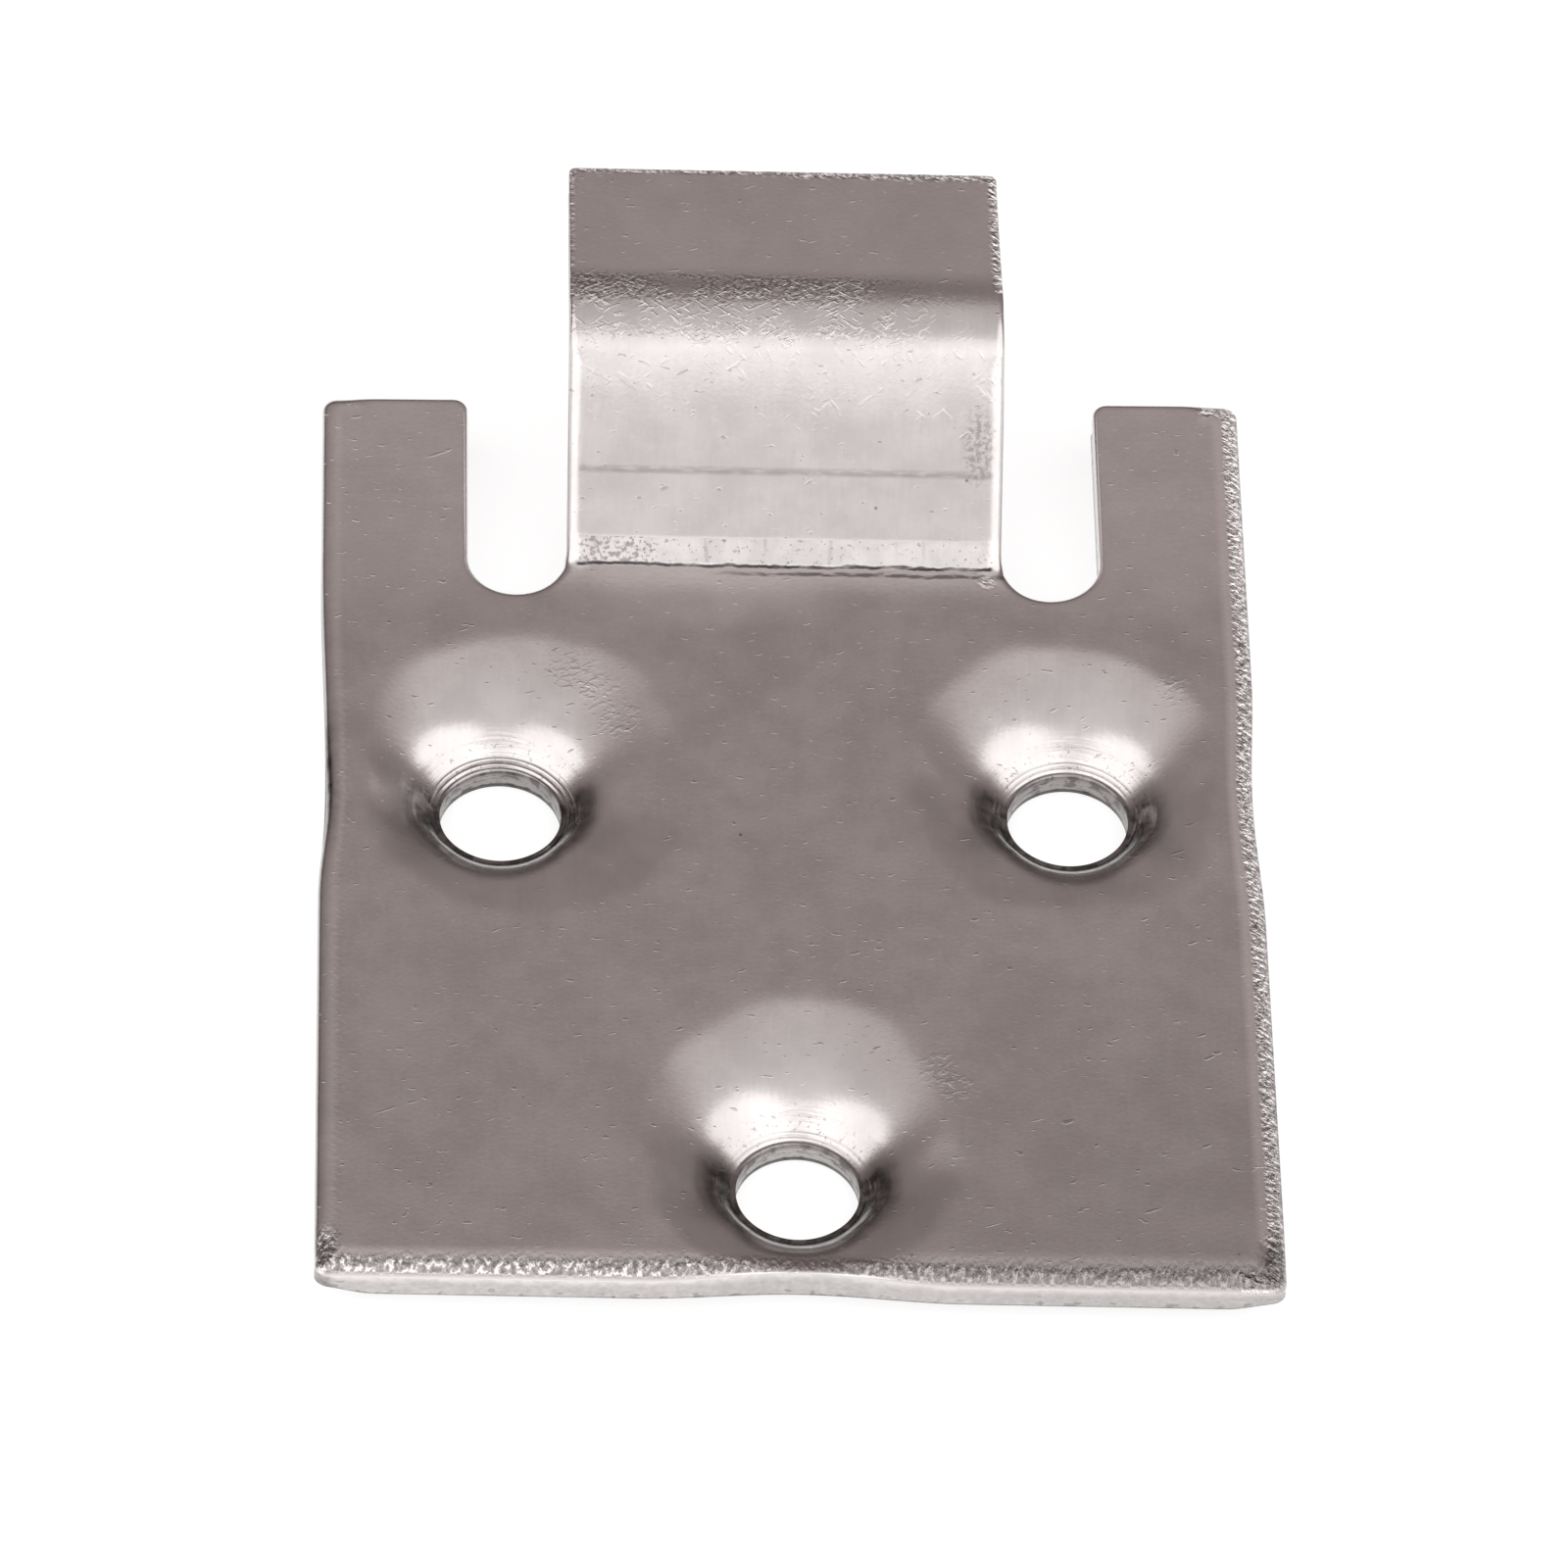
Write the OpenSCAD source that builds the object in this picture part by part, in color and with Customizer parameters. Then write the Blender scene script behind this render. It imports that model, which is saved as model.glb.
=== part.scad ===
// Seat anchor plate: one stamping of flat steel. Three dimpled screw holes hold it under a seat base,
// and the tab between the two slots is folded up and over to hook on the seat's anchorage.

/* [Sheet] */
// Thickness of the steel sheet
sheet_t = 2.5; // [2:0.1:2.8]
// How far the rolled upper edge reaches in over the face
roll_in = 0.6; // [0.3:0.05:0.65]
// How far the rolled upper edge reaches down the cut wall
roll_down = 0.6; // [0.4:0.05:0.9]

/* [Plate] */
// Width of the plate
plate_w = 63.5; // [60:0.5:76]
// Length from the near edge to the ends of the two arms
plate_l = 76.2; // [70:0.2:90]
// Radius of the plate's outer corners
corner_r = 0.9; // [0.9:0.1:2]
// Radius of the corners at the ends of the arms
arm_corner_r = 1.0; // [0.9:0.1:2]
// How far out of square the near edge was sheared, in degrees
near_skew = 0.75; // [0:0.05:1.5]

/* [Screw holes] */
// Distance between the two far holes
hole_gap_x = 38.4; // [34:0.1:40]
// How far to the left of the plate's middle the row of the two far holes was punched
row_shift = 0.3; // [0:0.05:0.6]
// Distance from the near hole to the row of the two far holes
hole_gap_y = 31.75; // [28:0.05:34]
// Distance from the near edge to the near hole
near_hole_y = 9.0; // [8:0.1:12]
// Diameter of the holes
hole_d = 8.15; // [6:0.05:9]
// Width of the flat land between each hole and the steep cone round it
land_w = 0.4; // [0.2:0.05:0.6]
// Height of the straight wall in each hole
hole_wall = 1.9; // [1.7:0.1:2.4]
// Depth of each dimple from the plate's face to the rim of its hole
dimple_depth = 2.6; // [2.4:0.1:3]
// Slope of the dimple's steep cone, in degrees
cone_angle = 40; // [34:1:48]
// Depth of the shallow dish around the cone
dish_depth = 0.85; // [0.5:0.05:1]
// Radius of the shallow dish
dish_r = 13; // [11:0.5:14]

/* [Edges drawn in by the dimples] */
// How far the two long edges are drawn in beside the far holes
side_draw = 0.42; // [0:0.02:0.8]
// How far the near edge is drawn in beside the near hole
near_draw = 0.55; // [0:0.05:0.9]
// Half the length of edge that is drawn in
draw_reach = 11; // [7:0.5:13]

/* [Slots] */
// Width of the two slots, whose ends are half circles
slot_w = 6.8; // [5.6:0.1:7.4]
// Distance from the near edge to the bottom of the slots
slot_y = 58.4; // [57.6:0.1:59]

/* [Tab] */
// Width of the tab
tab_w = 29.8; // [26:0.1:32]
// Distance from the near edge to the line of the lower fold
fold_y = 60.8; // [60:0.1:61.4]
// Height of the tab's upper face above the plate's upper face
tab_rise = 12.2; // [9:0.1:16]
// Slope of the rising face, in degrees
tab_angle = 46; // [38:1:56]
// Length of the tab's level end, from where the faces of the upper fold would meet
tab_end_l = 13.95; // [10:0.05:18]
// Outer radius of the upper fold
crest_r = 5.2; // [3.6:0.1:7]
// Width of the band that was coined into the foot of the rising face
band_w = 1.9; // [1:0.1:2.6]
// How much flatter than the rising face the coined band is, in degrees
band_ease = 7; // [3:1:12]
// Radius of the corners at the tab's end
tab_corner_r = 0.9; // [0.9:0.1:2]

/* [Hidden] */
$fn = 96;
steel = "#918684";

// Heights: the part rests on the rims of its three dimples at z = 0
z_under = dimple_depth + hole_wall - sheet_t;
z_face = z_under + sheet_t;
z_tab = z_face + tab_rise;

// Near edge: it falls away to the right by the skew, and its corner is the part's lowest y
half_w = plate_w / 2;
near_drop = (half_w - corner_r) * tan(near_skew) - corner_r / cos(near_skew) + corner_r;

// Cutters reach this far past what they cut, and the cutter of the rolled edge starts just above the face
clear = 0.5;
far = 4 * clear;
skim = 0.08;

// Facets of the rounded corners, of each slot's end, of each drawn-in edge, of the upper fold and of a dish
corner_steps = 4;
slot_steps = 14;
draw_steps = 8;
crest_steps = 10;
dish_steps = 6;

// Tab: the rising face's plane starts at root_y on the plate's face, and meets the end's plane at crest_y
band_y = fold_y + band_w * cos(tab_angle - band_ease);
band_z = z_face + band_w * sin(tab_angle - band_ease);
root_y = band_y - (band_z - z_face) / tan(tab_angle);
crest_y = root_y + tab_rise / tan(tab_angle);
crest_back = crest_r * tan(tab_angle / 2);
crest_o = [crest_y + crest_back, z_tab - crest_r];
tab_y = crest_y + tab_end_l;

// Slots: their middle lines, and the middles of their round ends
slot_x = (tab_w + slot_w) / 2;
slot_r = slot_w / 2;
slot_end_y = slot_y + slot_r;

// The origin is under the middle of the part's outer box
mid_y = (tab_y - near_drop) / 2;

holes = [
    [0, near_hole_y],
    [-hole_gap_x / 2 - row_shift, near_hole_y + hole_gap_y],
    [hole_gap_x / 2 - row_shift, near_hole_y + hole_gap_y]
];

// Draw-in of an edge at distance u along it from the middle of the dimple beside it
function draw_in(u, depth) = abs(u) < draw_reach ? depth * (1 + cos(180 * u / draw_reach)) / 2 : 0;
function side_x(y) = half_w - draw_in(y - holes[1].y, side_draw);
function near_y(x) = draw_in(x, near_draw) - x * tan(near_skew);

// An edge point is its place on the upper face, the way out of the metal and the face's own normal
up = [0, 0, 1];
function flat_point(x, y, n) = [[x, y, z_face], n, up];
function arc_points(x, y, z, r, from, to, steps, out = 1) = [
    for (i = [0 : steps])
        let (a = from + (to - from) * i / steps, d = [cos(a), sin(a), 0])
        [[x, y, z] + r * d, out * d, up]
];

// The edge as it runs round the plate, anticlockwise from the near left corner
function draw_stations(c) = [for (i = [-draw_steps : draw_steps]) c + draw_reach * i / draw_steps];
function corner_y(side) = near_y(side * (half_w - corner_r)) + corner_r / cos(near_skew);
near_edge = concat(
    arc_points(-half_w + corner_r, corner_y(-1), z_face, corner_r, 180, 270 - near_skew, corner_steps),
    [for (x = draw_stations(0)) flat_point(x, near_y(x), [0, -1, 0])],
    arc_points(half_w - corner_r, corner_y(1), z_face, corner_r, 270 - near_skew, 360, corner_steps)
);
right_edge = [for (y = draw_stations(holes[1].y)) flat_point(side_x(y), y, [1, 0, 0])];
left_edge = [for (i = [len(right_edge) - 1 : -1 : 0]) mirror_point(right_edge[i])];
function mirror_point(e) = [[-e[0].x, e[0].y, e[0].z], [-e[1].x, e[1].y, e[1].z], e[2]];

arm_in = slot_x + slot_r;
arm_end = concat(
    arc_points(half_w - arm_corner_r, plate_l - arm_corner_r, z_face, arm_corner_r, 0, 90, corner_steps),
    arc_points(arm_in + arm_corner_r, plate_l - arm_corner_r, z_face, arm_corner_r, 90, 180, corner_steps)
);

// The round end of the right slot, up to the notch where the lower fold starts
notch = 10;
fold_reach = 180 - notch - asin((slot_end_y - fold_y) / slot_r);
slot_edge = arc_points(slot_x, slot_end_y, z_face, slot_r, 0, -fold_reach, slot_steps, -1);

// The tab's right edge from there up over both folds to its end
face_n = [0, -sin(tab_angle), cos(tab_angle)];
band_n = [0, -sin(tab_angle - band_ease), cos(tab_angle - band_ease)];
function mitre(a, b) = 2 * (a + b) / ((a + b) * (a + b));

tab_edge = concat(
    [[[tab_w / 2, fold_y, z_face], [1, 0, 0], mitre(up, band_n)]],
    [[[tab_w / 2, band_y, band_z], [1, 0, 0], mitre(band_n, face_n)]],
    [
        for (i = [0 : crest_steps])
            let (a = 90 + tab_angle * (1 - i / crest_steps))
            [
                [tab_w / 2, crest_o.x + crest_r * cos(a), crest_o.y + crest_r * sin(a)],
                [1, 0, 0],
                [0, cos(a), sin(a)]
            ]
    ],
    arc_points(tab_w / 2 - tab_corner_r, tab_y - tab_corner_r, z_tab, tab_corner_r, 0, 90, corner_steps)
);
right_run = concat(arm_end, slot_edge, tab_edge);
left_run = [for (i = [len(right_run) - 1 : -1 : 0]) mirror_point(right_run[i])];
whole_edge = concat(near_edge, right_edge, right_run, left_run, left_edge);
plate_edge = concat(
    near_edge,
    right_edge,
    arc_points(half_w - arm_corner_r, plate_l - arm_corner_r, z_face, arm_corner_r, 0, 90, corner_steps),
    arc_points(-half_w + arm_corner_r, plate_l - arm_corner_r, z_face, arm_corner_r, 90, 180, corner_steps),
    left_edge
);

// Flat plate before its window, slots and holes
module plate_outline(bottom, top) {
    translate([0, 0, bottom])
        linear_extrude(top - bottom)
            polygon([for (e = plate_edge) [e[0].x, e[0].y]]);
}

module plate() {
    difference() {
        plate_outline(z_under, z_face);
        translate([-slot_x, fold_y, -far])
            cube([2 * slot_x, plate_l, z_face + 2 * far]);
        slot(-1);
        slot(1);
    }
}

// The folded strip's profile about the root of its rising face: x runs along the part, y is height
function arc(o, r, from, to, steps) = [
    for (i = [0 : steps])
        let (a = from + (to - from) * i / steps)
        o + r * [cos(a), sin(a)]
];

module tab_profile() {
    lap = 4;
    end = tab_y - root_y;
    foot = [band_y - root_y, band_z - z_face];
    o = crest_o - [root_y, z_face];
    polygon(concat(
        [[-lap, -sheet_t], [-lap, 0], [fold_y - root_y, 0], foot],
        arc(o, crest_r, 90 + tab_angle, 90, crest_steps),
        [[end, tab_rise], [end, tab_rise - sheet_t]],
        arc(o, crest_r - sheet_t, 90, 90 + tab_angle, crest_steps),
        arc([0, 0], sheet_t, tab_angle - 90, -90, crest_steps)
    ));
}

// What the rounding of one corner takes off the tab's end
module tab_corner() {
    translate([tab_w / 2 - tab_corner_r, tab_y - tab_corner_r, z_face])
        linear_extrude(tab_rise + clear)
            polygon(concat(
                [for (a = [0 : 90 / corner_steps : 90]) tab_corner_r * [cos(a), sin(a)]],
                [[0, far], [far, far], [far, 0]]
            ));
}

module tab() {
    difference() {
        translate([-tab_w / 2, root_y, z_face])
            rotate([90, 0, 90])
                linear_extrude(tab_w)
                    tab_profile();
        tab_corner();
        mirror([1, 0, 0])
            tab_corner();
    }
}

// One slot with its half-round end
module slot(side) {
    translate([side * slot_x, slot_end_y, -far])
        linear_extrude(z_tab + 2 * far) {
            circle(slot_r);
            translate([-slot_r, 0])
                square([slot_w, plate_l]);
        }
}

// Depth of the dimple at radius r: a shallow dish, then the steep cone down to the hole's rim
hole_r = hole_d / 2;
cone_r = hole_r + land_w + (dimple_depth - dish_depth) / tan(cone_angle);
dish_lean = 0.3;
function dish(r) =
    let (u = (dish_r - r) / (dish_r - cone_r))
        dish_depth * u * (dish_lean + (1 - dish_lean) * u);
function dish_edge(i) = dish_r - (dish_r - cone_r) * i / dish_steps;

// Outside the dish the dimple's two faces lift clear of the sheet by the hover, over the width of the skirt
skirt = 1;
hover = clear / 4;

// The hollow that the dimple leaves in the face
module dimple_hollow() {
    rotate_extrude()
        polygon(concat(
            [[0, far], [dish_r + far, far], [dish_r + skirt, hover]],
            [for (i = [0 : dish_steps]) [dish_edge(i), -dish(dish_edge(i))]],
            [[hole_r + land_w, -dimple_depth], [0, -dimple_depth]]
        ));
}

// The metal pushed out under the dimple, down to the flat rim that the part rests on
module dimple_boss() {
    bulge = sheet_t * tan(cone_angle / 2);
    rim_r = cone_r + bulge - (z_under - dish_depth) / tan(cone_angle);
    rotate_extrude()
        polygon(concat(
            [[0, -sheet_t / 2], [dish_r + skirt, -sheet_t / 2], [dish_r + skirt, hover - sheet_t]],
            [
                for (i = [0 : dish_steps])
                    let (r = dish_edge(i))
                    [r + bulge * i / dish_steps, -sheet_t - dish(r)]
            ],
            [[rim_r, -dimple_depth - hole_wall], [0, -dimple_depth - hole_wall]]
        ));
}

// The roll that blanking leaves along the whole upper edge, as one cutter that follows the edge
module rolled_edge() {
    roll_bow = 1 / 3;
    roll = [
        [clear, skim],
        [-roll_in - 2 * skim * roll_in / roll_down, skim],
        [-roll_in * roll_bow, -roll_down * roll_bow],
        [clear / 2, -roll_down - clear],
        [clear, -roll_down - clear]
    ];
    n = len(whole_edge);
    k = len(roll);
    polyhedron(
        points = [for (e = whole_edge, q = roll) e[0] + q.x * e[1] + q.y * e[2]],
        faces = [
            for (i = [0 : n - 1], j = [0 : k - 1])
                let (a = i * k, b = ((i + 1) % n) * k, c = (j + 1) % k)
                each [[a + j, b + c, b + j], [a + j, a + c, b + c]]
        ]
    );
}

module anchor_plate() {
    color(steel)
        translate([0, -mid_y, 0])
            difference() {
                union() {
                    plate();
                    tab();
                    intersection() {
                        plate_outline(-clear, z_face);
                        for (h = holes)
                            translate([h.x, h.y, z_face])
                                dimple_boss();
                    }
                }
                for (h = holes)
                    translate([h.x, h.y, z_face]) {
                        dimple_hollow();
                        translate([0, 0, -z_face - far])
                            cylinder(r = hole_r, h = z_face + 2 * far);
                    }
                rolled_edge();
            }
}

anchor_plate();
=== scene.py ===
import math

import bpy
import numpy as np
from mathutils import Matrix, Vector, kdtree
from mathutils.geometry import delaunay_2d_cdt


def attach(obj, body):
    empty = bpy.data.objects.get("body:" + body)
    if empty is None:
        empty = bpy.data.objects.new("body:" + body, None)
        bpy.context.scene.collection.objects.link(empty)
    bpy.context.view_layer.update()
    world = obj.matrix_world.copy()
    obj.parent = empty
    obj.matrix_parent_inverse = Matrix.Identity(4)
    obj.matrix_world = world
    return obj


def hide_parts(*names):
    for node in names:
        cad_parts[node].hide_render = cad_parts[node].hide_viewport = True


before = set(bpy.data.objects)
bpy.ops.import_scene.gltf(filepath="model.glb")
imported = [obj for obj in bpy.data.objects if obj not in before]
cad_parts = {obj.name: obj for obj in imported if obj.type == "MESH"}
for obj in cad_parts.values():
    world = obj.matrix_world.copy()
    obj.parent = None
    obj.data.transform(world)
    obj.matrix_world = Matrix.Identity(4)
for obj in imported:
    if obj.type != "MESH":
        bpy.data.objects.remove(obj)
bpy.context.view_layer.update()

# The blank: one flat piece of 2.5 mm steel sheet, sheared square and notched twice, so that a tab is left
# between two slots with half-round ends. x runs across it and s along it from the near edge, both in
# millimetres. The sheet is followed from here through its dimples and folds to the finished plate.
MM = 0.001
SHEET = 2.5
HALF_W, PLATE_L = 31.75, 76.05
CORNER_R, ARM_CORNER_R, TAB_CORNER_R = 0.9, 1.0, 0.5
SLOT_X, SLOT_R, SLOT_END = 18.3, 3.4, 61.8
HALF_TAB = SLOT_X - SLOT_R
SLOT_OUT = SLOT_X + SLOT_R
FOLD = 60.8
EDGE_STEP, TAB_EDGE_STEP = 0.46, 0.3
CORNER_POINTS, SLOT_POINTS = 7, 28


def line(start, end, step=EDGE_STEP):
    """Points from start up to, but not including, end."""
    start, end = np.array(start), np.array(end)
    count = max(1, round(float(np.linalg.norm(end - start)) / step))
    return start + (end - start) * np.arange(count)[:, None] / count


def arc(centre, radius, first, last, count=CORNER_POINTS):
    """Points on an arc, angles in degrees, without its last point."""
    a = np.radians(first + (last - first) * np.arange(count) / count)
    return np.array(centre) + radius * np.column_stack([np.cos(a), np.sin(a)])


def smooth(low, high, value):
    """0 below low, 1 above high, and an even S between them."""
    t = np.clip((value - low) / (high - low), 0, 1)
    return t * t * (3 - 2 * t)


def bell(value, reach):
    """1 at zero, falling to 0 at the reach on both sides."""
    return np.where(np.abs(value) < reach, (1 + np.cos(np.pi * value / reach)) / 2, 0)


# The tab's folds, pressed in a die: the sheet lifts a little before the fold, a coined band lies at the foot
# of the rising face, a faint die mark crosses that face, and the crest is bent a touch too far and springs
# back. The tab's angle along the sheet is summed up into its profile.
RAMP, LIFT, BAND_EASE, CREST_EASE = (math.radians(a) for a in (47.4, 6, 8.4, 5))
MARK_TURN, OVERBEND, SPRING_BACK = (math.radians(a) for a in (2.4, 5, 1.2))
BAND_W, CREST_R, CREST_STRETCH, CREST_EASE_L = 1.85, 5.2, 1.15, 6
TAB_RISE, TAB_Y = 12.2, 86.64
LIFT_S, MARK_S, BAND_END = FOLD - 3.5, FOLD + 6.5, FOLD + BAND_W
FOLD_FROM, FOLD_TO = FOLD - 0.1, FOLD + 0.12
MARK_HALF = 0.1
PROFILE_STEP, PROFILE_L = 0.01, 40
FIRST_GUESS, CORRECTIONS = 13.3, 5
crest_l = CREST_STRETCH * CREST_R * RAMP


def round_off(value):
    """0 to 1 over the crest, turning faster at its start than at its end."""
    t = np.clip(value, 0, 1)
    return (t + np.sin(t * math.pi / 2)) / 2


def bend(rising):
    """Length, angle, y and z of the upper face along the tab, for a length of rising face."""
    s = np.arange(LIFT_S, FOLD + PROFILE_L, PROFILE_STEP)
    crest = BAND_END + rising
    level = crest + crest_l
    angle = (
        LIFT * smooth(LIFT_S, FOLD_FROM, s)
        + (RAMP - BAND_EASE - LIFT) * smooth(FOLD_FROM, FOLD_TO, s)
        + BAND_EASE * smooth(BAND_END - 0.1, BAND_END + 0.3, s)
        + MARK_TURN * bell(s - MARK_S + MARK_HALF, 2 * MARK_HALF)
        - MARK_TURN * bell(s - MARK_S - MARK_HALF, 2 * MARK_HALF)
        - CREST_EASE * smooth(crest - CREST_EASE_L, crest, s)
        - (RAMP - CREST_EASE) * round_off((s - crest) / crest_l)
        - OVERBEND * bell(s - level - 0.8, 1.2)
        + SPRING_BACK * smooth(level + 1.0, level + 2.5, s)
    )
    y = LIFT_S + PROFILE_STEP * np.concatenate([[0], np.cumsum(np.cos(angle[:-1]))])
    z = PROFILE_STEP * np.concatenate([[0], np.cumsum(np.sin(angle[:-1]))])
    return s, angle, y, z


# The rising face gets the length that brings the tab to its height.
rising = FIRST_GUESS
for _ in range(CORRECTIONS):
    fold_s, fold_angle, fold_y, fold_z = bend(rising)
    rising += (TAB_RISE - fold_z[fold_y < TAB_Y].max()) / math.sin(RAMP)
crest_s = BAND_END + rising
level_s = crest_s + crest_l
tab_s = float(np.interp(TAB_Y, fold_y, fold_s))

half = np.concatenate(
    [
        line((0, 0), (HALF_W - CORNER_R, 0)),
        arc((HALF_W - CORNER_R, CORNER_R), CORNER_R, -90, 0),
        line((HALF_W, CORNER_R), (HALF_W, PLATE_L - ARM_CORNER_R)),
        arc((HALF_W - ARM_CORNER_R, PLATE_L - ARM_CORNER_R), ARM_CORNER_R, 0, 90),
        line((HALF_W - ARM_CORNER_R, PLATE_L), (SLOT_OUT + ARM_CORNER_R, PLATE_L)),
        arc((SLOT_OUT + ARM_CORNER_R, PLATE_L - ARM_CORNER_R), ARM_CORNER_R, 90, 180),
        line((SLOT_OUT, PLATE_L - ARM_CORNER_R), (SLOT_OUT, SLOT_END)),
        arc((SLOT_X, SLOT_END), SLOT_R, 0, -180, SLOT_POINTS),
        line((HALF_TAB, SLOT_END), (HALF_TAB, tab_s - TAB_CORNER_R), TAB_EDGE_STEP),
        arc((HALF_TAB - TAB_CORNER_R, tab_s - TAB_CORNER_R), TAB_CORNER_R, 0, 90),
        line((HALF_TAB - TAB_CORNER_R, tab_s), (0, tab_s)),
    ]
)
mirrored = half[:0:-1] * [-1, 1]
outline = np.concatenate([half, [[0, tab_s]], mirrored])
ahead = np.roll(outline, -1, axis=0) - np.roll(outline, 1, axis=0)
ahead /= np.linalg.norm(ahead, axis=1)[:, None]
outward = np.column_stack([ahead[:, 1], -ahead[:, 0]])

# The three dimples: the punched sheet is pressed down round each hole into a steep cone inside a wide,
# shallow dish, so that a screw head sinks below the face. The press leaves their rims on one plane.
HOLES = [(0, 9.0), (-19.5, 40.75), (18.9, 40.75)]
HOLE_R, LAND_R, CONE_R, SCREEN_R = 4.075, 4.475, 6.6, 7.6
DISH_DEPTH, DIMPLE_BULGE = 0.86, 0.91
# Each dish's reach, how much farther it reaches to the back and to the right, how square it is, its cone's
# slope at the back and the height of the ridges at its hole.
DISHES = [
    {"reach": 10.2, "back": 4.0, "right": 0.2, "square": 0.0, "steep": 0.75, "ridge": 0.02},
    {"reach": 11.0, "back": 3.0, "right": 1.8, "square": 0.2, "steep": 0.77, "ridge": 0.06},
    {"reach": 10.6, "back": 2.9, "right": -0.2, "square": 0.4, "steep": 0.75, "ridge": 0.025},
]
# The waves in the dishes' edges: height, number round the hole, and shift from one hole to the next.
WAVES = [(0.25, 5, 1.9), (0.15, 11, 2.3)]
# On its near side a dish reaches less far and is shallower, and its cone is steeper and narrower.
NEAR_REACH, NEAR_DISH, NEAR_DEPTH, NEAR_SLOPE, SIDE_SHARE = 0.3, 0.35, 1.98, 1.15, 0.7
NEAR_ROUND, FAR_ROUND = 0.7, 2.5
FADE_FROM, FADE_TO = 1, 4
RIDGE_STEP, RIDGE_SWAY = 0.33, 1.1
RIDGES_FROM, RIDGES_TO = 4.8, 5.4
LIP, LIP_DEPTH, LAND_LIFT = 0.06, 0.08, 0.1
CORNER_SOFT = 0.004


def around(x, s, number):
    """Distance from a hole's middle and angle round it, from the right and anticlockwise."""
    hole_x, hole_s = HOLES[number]
    return np.hypot(x - hole_x, s - hole_s), np.arctan2(s - hole_s, x - hole_x)


def ridge_wave(r, turn, number):
    """The ridges that the punch left: waves in the distance from the hole, swaying as they go round."""
    return np.sin(2 * math.pi * r / RIDGE_STEP + RIDGE_SWAY * np.sin(turn * 2 + number))


def ridged(r, turn):
    """Where the ridges are: on a hole's far side, close to the rim."""
    return smooth(-0.6, 0.3, np.sin(turn + 0.5)) * (1 - smooth(RIDGES_FROM, RIDGES_TO, r))


def rounded_rise(value, soft):
    """The value where it is above 0, and 0 elsewhere, with a rounded corner between."""
    return (value + np.sqrt(value * value + soft)) / 2


def dimple(x, s, under):
    """How far the dimples push the upper face down, or the lower face where under is true."""
    depth = np.zeros_like(x)
    for number, form in enumerate(DISHES):
        r, turn = around(x, s, number)
        back = np.sin(turn)
        reach = form["reach"] + form["back"] * np.where(back > 0, back**2, NEAR_REACH * back)
        reach = reach + form["right"] * np.cos(turn) - form["square"] * np.cos(4 * turn)
        for height, times, shift in WAVES:
            reach = reach + height * np.cos(times * turn + shift * number)
        behind = smooth(-0.95, -0.1, back)
        deep = NEAR_DEPTH + (form["steep"] * (CONE_R - LAND_R) - NEAR_DEPTH) * behind
        cone_r = LAND_R + deep / NEAR_SLOPE * np.clip(-back, SIDE_SHARE, 1)
        cone_r = cone_r + (CONE_R - cone_r) * smooth(-0.5, 0.5, back)
        cone_round = NEAR_ROUND + (FAR_ROUND - NEAR_ROUND) * smooth(0.1, 0.85, back)
        slope = deep / (cone_r - LAND_R)
        if under:
            r = r - DIMPLE_BULGE * np.clip((reach - r) / (reach - CONE_R), 0, 1)
        inward = np.minimum(rounded_rise((reach - r) / (reach - CONE_R), CORNER_SOFT), 1.05)
        dish = DISH_DEPTH * (NEAR_DISH + (1 - NEAR_DISH) * behind) * inward * (0.85 + 0.15 * inward)
        cone = rounded_rise((cone_r - np.maximum(r, LAND_R)) * slope, cone_round)
        push = dish + np.maximum(cone - LAND_LIFT, 0)
        if not under:
            lip = np.clip((HOLE_R + LIP - r) / LIP, 0, 0.995)
            push = push + form["ridge"] * ridge_wave(r, turn, number) * ridged(r, turn)
            push = push + LIP_DEPTH * (1 - np.sqrt(1 - lip * lip))
        fade = 1 - smooth(reach + FADE_FROM, reach + FADE_TO, r)
        depth = np.maximum(depth, push * fade)
    return depth


# The pressed and folded sheet in the part's own frame, whose y starts under the middle of its box. Blanking
# rolled the upper edges over, the dimples drew in the edges beside them, and the shears and folds are a
# little out of square.
MID_Y = 43.2246
FACE_Z = 4.5
UNDER_DEPTH = FACE_Z
SKEW, FOLD_SKEW, ARM_SKEW = (math.tan(math.radians(a)) for a in (0.75, 0.6, 0.15))
# Widths and heights of the rolled edges: the common roll, what the sides and the rising face add to it, what
# the tab's level end takes off its height, and the near edge's own roll, which is calmer over the dimple.
ROLL_W, RIGHT_ROLL_W, LEFT_ROLL_W, RISING_ROLL_W, NEAR_ROLL_W = 0.5, 1.1, 0.5, 0.95, 2.3
ROLL_H, SIDE_ROLL_H, RISING_ROLL_H, END_ROLL_H, NEAR_ROLL_H = 0.38, 0.2, 0.22, 0.2, 0.85
ROLL_POWER, RISING_POWER, ROLL_SHARE = 2.2, 0.9, 0.985
SIDE_FROM, SIDE_TO = 28, 31
CALM_SHARE, CALM_L = 0.8, 10
# How far the edges beside the dimples are drawn in, and along what length. The left edge is drawn in farther
# back and longer, and its upper rim a little more.
NEAR_DRAW, NEAR_DRAW_L = 0.55, 11
SIDE_DRAW, SIDE_DRAW_L, LEFT_SHIFT, LEFT_STRETCH = 0.42, 11, 1.5, 0.6
RIM_DRAW, RIM_DRAW_S, RIM_DRAW_L = 0.2, 39.5, 7
# The arms lift a little towards their ends, the lower corners at the near edge are thinned, and the tab
# tapers on its right.
ARM_LIFT, ARM_FROM, ARM_L = 0.012, 60, 16
THIN_CORNER, TAB_TAPER = 0.75, 0.2


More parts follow.
